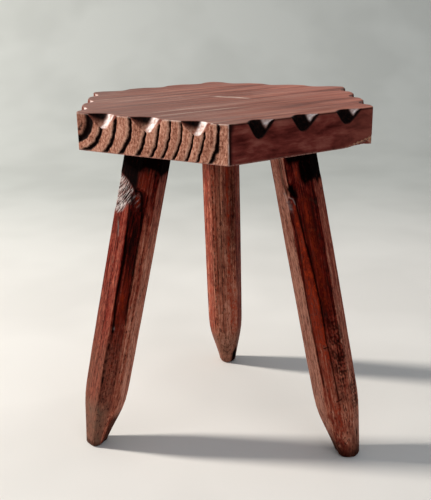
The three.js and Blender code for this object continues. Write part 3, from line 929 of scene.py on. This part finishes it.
class Finish:
    """A material and the nodes that make it up."""

    def __init__(self, name, turn=(0, 0, 0)):
        self.material = bpy.data.materials.new(name)
        self.material.use_nodes = True
        self.tree = self.material.node_tree
        self.tree.nodes.clear()
        # The point's place on the piece in millimetres, turned into a frame of its own
        inputs = {0: self.node("TexCoord", output=3), 2: turn, 3: (1000, 1000, 1000)}
        self.place = self.node("Mapping", {"vector_type": "POINT"}, inputs)

    def node(self, kind, settings=None, inputs=None, output=0):
        """Adds a node, with its settings first and then what its sockets are given."""
        made = self.tree.nodes.new("ShaderNode" + kind)
        for name, value in (settings or {}).items():
            setattr(made, name, value)
        for name, value in (inputs or {}).items():
            if isinstance(value, Wire):
                self.tree.links.new(value.socket, made.inputs[name])
            else:
                made.inputs[name].default_value = value
        return Wire(self, made.outputs[output]) if made.outputs else None

    def sum(self, operation, first, second=0.0):
        return self.node("Math", {"operation": operation}, {0: first, 1: second})

    def mix(self, factor, first, second, mode="MIX"):
        """A blend of two colours."""
        settings = {"data_type": "RGBA", "blend_type": mode, "clamp_factor": True}
        inputs = {0: factor, 6: tone(first), 7: tone(second)}
        return self.node("Mix", settings, inputs, output=2)

    def ramp(self, value, stops):
        made = self.node("ValToRGB", {}, {0: value})
        elements = made.socket.node.color_ramp.elements
        while len(elements) < len(stops):
            elements.new(0.5)
        for element, (position, colour) in zip(elements, stops):
            element.position = position
            element.color = tone(colour)
        return made

    def rise(self, value, start, end):
        """Goes smoothly from 0 to 1 while a value goes from start to end."""
        settings = {"interpolation_type": "SMOOTHSTEP"}
        return self.node("MapRange", settings, {0: value, 1: start, 2: end, 3: 0.0, 4: 1.0})

    def painted(self, name):
        return self.node("Attribute", {"attribute_name": name}, output=2)

    def split(self):
        """The three parts of a point's place."""
        first = self.node("SeparateXYZ", {}, {0: self.place})
        return [Wire(self, socket) for socket in first.socket.node.outputs]

    def noise(self, sizes, detail, roughness, distortion=0.0, shift=0.0, gain=2.0):
        """Noise about 0.5, each of its sizes in millimetres, with its contrast raised."""
        shrink = tuple(1 / size for size in sizes)
        where = self.node("VectorMath", {"operation": "MULTIPLY"}, {0: self.place, 1: shrink})
        if shift:
            offset = (shift, shift * 1.7, shift * 0.6)
            where = self.node("VectorMath", {"operation": "ADD"}, {0: where, 1: offset})
        inputs = {
            "Vector": where,
            "Scale": 1.0,
            "Detail": detail,
            "Roughness": roughness,
            "Distortion": distortion,
        }
        return (self.node("TexNoise", {}, inputs) - 0.5) * gain + 0.5

    def bump(self, height, distance, strength):
        inputs = {"Height": height, "Distance": distance * MM, "Strength": strength}
        return self.node("Bump", {}, inputs)

    def surface(self, colour, roughness, normal=None, gloss=0.0, specular=0.5):
        """The material, with a coat of varnish as strong as its gloss."""
        inputs = {"Base Color": colour, "Roughness": roughness, "Specular IOR Level": specular}
        inputs.update({"Coat Weight": gloss, "Coat Roughness": 0.3})
        if normal is not None:
            inputs["Normal"] = normal
        shader = self.node("BsdfPrincipled", {}, inputs)
        self.node("OutputMaterial", {}, {"Surface": shader})
        return self.material


def seat_finish():
    finish = Finish("seat_wood_weathered", (0, 0, -float(np.arctan2(grain[1], grain[0]))))
    mix, ramp, rise, noise = finish.mix, finish.ramp, finish.rise, finish.noise
    painted = finish.painted
    lengthways, crossways, height = finish.split()
    # Across the grain is counted towards the seat's front right, as the turned Y axis is not
    across = crossways * -1.0 - float(seat_centre @ across_grain)
    lengthways = lengthways - float(seat_centre @ grain)
    depth = SEAT_TOP - height
    number = painted("ring")
    from_groove = finish.sum("PINGPONG", number, 0.5)

    end_grain = painted("end_grain")
    gouged = painted("gouged")
    weathered_part = end_grain * (1.0 - gouged)

    streaks = noise((170, 11, 9), 5, 0.62, 0.3, gain=4.2)
    fine = noise((34, 0.6, 2.4), 4, 0.6)
    lines = noise((240, 5, 5), 3, 0.55, 0.2, shift=5.2, gain=3.4)
    patches = noise((140, 26, 40), 4, 0.55, 0.5, shift=3.1, gain=3.6)
    figure = noise((34, 20, 12), 4, 0.6, 0.4, shift=9.4, gain=3.4)
    pits = noise((2.2, 2.2, 3.0), 4, 0.75, gain=3.8)
    fibre = noise((1.5, 1.5, 9), 3, 0.6, shift=4.4, gain=2.6)
    speck = noise((2.2, 0.9, 1.2), 2, 0.5, shift=7.7)

    # The top, greyer towards its left end, with a pale painted highlight streak across it
    top = ramp(
        streaks * 0.5 + fine * 0.1 + patches * 0.4,
        [(0.1, (112, 58, 46)), (0.5, (148, 86, 70)), (0.9, (186, 124, 106))],
    )
    top = mix((1.0 - rise(lines, 0.1, 0.4)) * 0.6, top, (86, 40, 32))
    redder = rise(lengthways, 20, 150) * rise(patches, 0.1, 0.5) * 0.6
    top = mix(redder, top, mix(0.6, top, (204, 122, 104)))
    greyer = rise(lengthways, 40, -150) * 0.55 + rise(patches, 0.5, 0.9) * 0.25
    top = mix(greyer, top, mix(0.6, top, (132, 108, 100)))
    # A painted highlight: a pale streak across the top
    off_highlight_streak = finish.sum("ABSOLUTE", across + 32.0 - lengthways * 1.75)
    highlight_streak = rise(off_highlight_streak, 15, 3) * rise(lengthways, -6, 10)
    highlight_streak = highlight_streak * rise(lengthways, 34, 22)
    highlight_streak = highlight_streak * rise(streaks * 0.5 + fine * 0.5, 0.3, 0.6)
    worn = rise(streaks, 0.8, 1.3) * rise(lengthways, 60, -40) * 0.5
    # The pale worn streaks, joined by the painted highlight streak
    worn = finish.sum("MAXIMUM", worn, highlight_streak * 0.9)
    top = mix(worn, top, (212, 188, 174))

    # The long-grain sides
    side = ramp(
        figure * 0.6 + streaks * 0.2 + fine * 0.2,
        [(0.1, (60, 14, 11)), (0.5, (102, 42, 36)), (0.9, (132, 73, 63))],
    )
    paler = rise(lengthways, 20, 90) * (0.35 + 0.5 * rise(figure, 0.1, 0.9))
    side = mix(paler, side, (124, 66, 55))
    on_side = rise(depth, 0.4, 1.2)
    colour = mix(on_side, top, side)

    # End grain: pale bands with pits and fibres between grooves painted near black, as painted
    # shade in them
    band = ramp(
        pits * 0.5 + fibre * 0.3 + patches * 0.2,
        [(0.1, (84, 40, 28)), (0.45, (156, 102, 82)), (0.85, (208, 156, 134))],
    )
    within_ring = finish.sum("FRACT", number)
    rim = rise(within_ring, 0.62, 0.8) * rise(within_ring, 0.95, 0.85)
    band = mix(rim * 0.3, band, (214, 170, 146))
    band = mix(rise(number, 1.2, 0.7) * 0.5, band, (84, 44, 32))
    half = 0.056 + 0.10 * finish.sum("EXPONENT", number * (-1 / 2.2))
    first = number - 1.0
    first = finish.sum("EXPONENT", first * first * -9.0) * rise(depth, 36, 16)
    half = half + 0.15 * first + 0.03 * rise(depth, 12, 40)
    in_groove = 1.0 - rise(from_groove + (pits - 0.5) * 0.03, half * 0.85, half * 2.2)
    in_groove = in_groove * rise(number, 0.4, 0.6)
    inner = finish.sum("ABSOLUTE", number - 0.45 + (pits - 0.5) * 0.1)
    inner = rise(inner, 0.1, 0.03) * rise(depth, 8, 14) * 0.8
    in_groove = finish.sum("MAXIMUM", in_groove, inner)
    # Painted shade: the grooves near black
    weathered = mix(in_groove, band, (14, 2, 1))
    colour = mix(weathered_part, colour, weathered)

    # Gouged notches with painted highlights and painted shade on their walls, arrises pale from
    # wear and a painted highlight, and the splinter's fresh wood
    cut_wood = ramp(fine, [(0.2, (70, 26, 19)), (0.8, (132, 74, 60))])
    cut_wood = mix(rise(depth, 3, 10) * end_grain * 0.75, cut_wood, band)
    colour = mix(gouged, colour, cut_wood)
    # Pale painted highlights on the notch walls that face the light and on the end arrises
    highlight_mottle = noise((5, 5, 5), 3, 0.6, shift=1.6, gain=3.2)
    pale = painted("pale") * (0.72 + 0.4 * fine)
    pale = finish.sum("MINIMUM", pale * (0.8 + 0.35 * highlight_mottle), 1.0)
    colour = mix(pale, colour, mix(highlight_mottle, (206, 170, 158), (248, 236, 232)))
    # Black painted shade on the notch walls in shadow and along the first side's edges
    black = painted("black") * (0.93 + 0.07 * rise(pits, 0.1, 0.6))
    colour = mix(black, colour, (6, 1, 1))
    # Arrises pale from wear, with a painted highlight along them
    arris = painted("arris") * end_grain * 0.85
    colour = mix(arris, colour, (222, 196, 184))
    low_arris = painted("low_arris") * rise(speck, 0.3, 0.45) * 0.6
    colour = mix(low_arris, colour, (176, 136, 122))
    in_splinter = painted("splinter_depth") + (fine - 0.5) * 0.25
    fresh = ramp(
        in_splinter,
        [
            (0.0, (170, 128, 100)),
            (0.12, (96, 40, 26)),
            (0.3, (206, 164, 134)),
            (0.42, (120, 40, 26)),
            (0.6, (186, 140, 112)),
            (0.75, (40, 12, 8)),
            (1.0, (22, 6, 4)),
        ],
    )
    colour = mix(painted("splinter"), colour, fresh)

    roughness = 0.38 + 0.2 * streaks + weathered_part * 0.3 + pale * 0.1
    relief = streaks * 0.3 + fine * 0.3 + lines * 0.15
    relief = relief + weathered_part * (pits * 0.9 + fibre * 0.4 - in_groove * 0.8)
    normal = finish.bump(relief, 0.45, 0.6)
    gloss = (1.0 - on_side) * 0.16 + pale * 0.3
    return finish.surface(colour, roughness, normal, gloss, 0.03)


def leg_finish(name, leg):
    turn = leg_place(leg).to_3x3().inverted().to_euler()
    finish = Finish(f"leg_wood_{name}", tuple(turn))
    mix, ramp, rise, noise = finish.mix, finish.ramp, finish.rise, finish.noise
    painted = finish.painted
    # How deep the staining is, with light and shade on the facets and under the seat partly painted
    # in
    stain_and_shade = painted("stain_and_shade")
    streaks = noise((2.6, 2.6, 80), 5, 0.65, 0.4, gain=4.2)
    fine = noise((1.2, 1.2, 22), 4, 0.65, gain=2.4)
    patches = noise((10, 10, 26), 4, 0.6, 0.8, shift=2.3, gain=3.2)
    mottle = noise((3.0, 3.0, 7), 4, 0.75, 0.5, shift=6.1, gain=4.2)
    specks = noise((1.9, 1.9, 8), 2, 0.5, shift=8.8, gain=2.4)
    depth = stain_and_shade + (streaks - 0.5) * 0.32 + (patches - 0.5) * 0.2 + (mottle - 0.5) * 0.2
    colour = ramp(
        depth,
        [
            (0.0, (208, 156, 132)),
            (0.2, (184, 112, 88)),
            (0.4, (148, 72, 54)),
            (0.6, (118, 34, 18)),
            (0.76, (88, 10, 2)),
            (0.9, (52, 2, 0)),
            (1.0, (22, 0, 0)),
        ],
    )
    grain_tone = ramp(fine, [(0.1, (70, 56, 52)), (0.9, (186, 168, 160))])
    colour = mix(0.6, colour, grain_tone, "OVERLAY")
    grey = painted("grey") * (0.6 + 0.3 * patches) + rise(patches, 0.75, 1.1) * 0.12
    colour = mix(grey, colour, mix(0.35, (112, 84, 68), grain_tone, "OVERLAY"))
    colour = mix(rise(specks, 0.7, 0.85) * 0.7, colour, (46, 8, 4))
    # Orange-red marks and worn-through wood, with a painted highlight on the left leg's chamfer end
    # among them
    rust_and_highlight = painted("rust_and_highlight") * (0.25 + 0.7 * mottle)
    colour = mix(rust_and_highlight, colour, mix(mottle, (98, 17, 4), (166, 52, 20)))
    bare_and_highlight = painted("bare_and_highlight") * (0.7 + 0.5 * mottle)
    colour = mix(bare_and_highlight, colour, (190, 180, 176))
    # Black marks, among them painted shadow of the seat on the leg tops and painted shade in
    # hollows and on the feet
    black = painted("black") * (0.88 + 0.12 * rise(mottle, -0.3, 0.3))
    colour = mix(black, colour, (4, 0, 0))
    dark = rise(depth, 0.5, 0.85)
    roughness = 0.52 + 0.1 * streaks + bare_and_highlight * 0.3 + black * 0.4
    normal = finish.bump(streaks * 0.4 + fine * 0.25 + mottle * 0.25, 0.5, 0.6)
    gloss = (1.0 - black) * (1.0 - 0.8 * dark) * 0.12
    return finish.surface(colour, roughness, normal, gloss, 0.02)


def wedge_finish():
    finish = Finish("wedge_wood_riven")
    streaks = finish.noise((1.5, 1.5, 30), 5, 0.6)
    colour = finish.ramp(streaks, [(0.3, (150, 112, 74)), (0.7, (206, 172, 128))])
    normal = finish.bump(streaks, 0.3, 0.5)
    return finish.surface(colour, 0.6 + 0.2 * streaks, normal)


def stage_finish():
    """A pale floor that turns into a greyer backdrop."""
    finish = Finish("studio_sweep")
    _, back, _ = finish.split()
    cloth = finish.noise((300, 300, 300), 2, 0.5)
    floor = finish.ramp(cloth, [(0.3, (226, 223, 218)), (0.7, (234, 231, 226))])
    wall = finish.ramp(cloth, [(0.3, (184, 186, 182)), (0.7, (192, 194, 190))])
    colour = finish.mix(finish.rise(back, 300, 1500), floor, wall)
    return finish.surface(colour, 0.9)


def coat(piece, material):
    piece.data.materials.clear()
    piece.data.materials.append(material)


def dress(piece, material, slot, *nodes):
    coat(piece, material)
    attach(piece, "root")
    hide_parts(*nodes)


# Camera, light and floor


def add_camera():
    camera = bpy.data.objects.new("camera", bpy.data.cameras.new("camera"))
    bpy.context.scene.collection.objects.link(camera)
    pitch, pan, roll = radians(18.5366), radians(1.7335), radians(-0.9714)
    forward = Vector((sin(pan) * cos(pitch), cos(pan) * cos(pitch), -sin(pitch)))
    level_right = Vector((cos(pan), -sin(pan), 0))
    level_up = level_right.cross(forward)
    right = level_right * cos(roll) + level_up * sin(roll)
    up = level_up * cos(roll) - level_right * sin(roll)
    turn = Matrix((right, up, -forward)).transposed().to_4x4()
    camera.matrix_world = Matrix.Translation((-0.0295, -0.9390, 0.5551)) @ turn
    camera.data.sensor_width = 36
    camera.data.lens = 55.225
    camera.data.clip_start = 0.01
    bpy.context.scene.camera = camera


def add_light(name, place, target, size, power, colour=(1, 1, 1)):
    light = bpy.data.lights.new(name, "AREA")
    light.shape = "DISK"
    light.size = size
    light.energy = power
    light.color = colour
    lamp = bpy.data.objects.new(name, light)
    lamp.location = place
    lamp.rotation_euler = (Vector(target) - Vector(place)).to_track_quat("-Z", "Y").to_euler()
    bpy.context.scene.collection.objects.link(lamp)


def add_stage():
    """A floor that sweeps up into a backdrop, a soft sky and two lamps."""
    deselect()
    bpy.ops.mesh.primitive_grid_add(x_subdivisions=4, y_subdivisions=90, size=12)
    sweep = bpy.context.object
    sweep.name = "studio_sweep"
    start, radius = 1600, 1400
    points = read_points(sweep)
    past = np.maximum(points[:, 1] - start, 0)
    turn = np.minimum(past / radius, pi / 2)
    points[:, 1] = np.minimum(points[:, 1], start) + radius * np.sin(turn)
    points[:, 2] = radius * (1 - np.cos(turn)) + np.maximum(past - radius * pi / 2, 0)
    write_points(sweep, points)
    smooth(sweep, 60)
    coat(sweep, stage_finish())
    world = bpy.data.worlds.new("studio")
    world.use_nodes = True
    background = world.node_tree.nodes["Background"]
    background.inputs[0].default_value = (0.82, 0.9, 1.0, 1)
    background.inputs[1].default_value = 0.36
    bpy.context.scene.world = world
    add_light("key", (-3.7, 0.65, 2.2), (0, 0, 0.3), 0.5, 245, (1, 0.95, 0.88))
    add_light("fill", (1.2, -2.2, 1.5), (0, 0, 0.25), 1.6, 9)


add_camera()
add_stage()

seat = make_seat()
dress(seat, seat_finish(), "seat_wood", "seat")
for name, leg in LEGS.items():
    hewn = make_leg(name, leg)
    dress(hewn, leg_finish(name, leg), "leg_wood", f"leg_{name}")
    coat(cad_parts[f"wedge_{name}"], wedge_finish())

bpy.context.scene.view_settings.view_transform = "Standard"
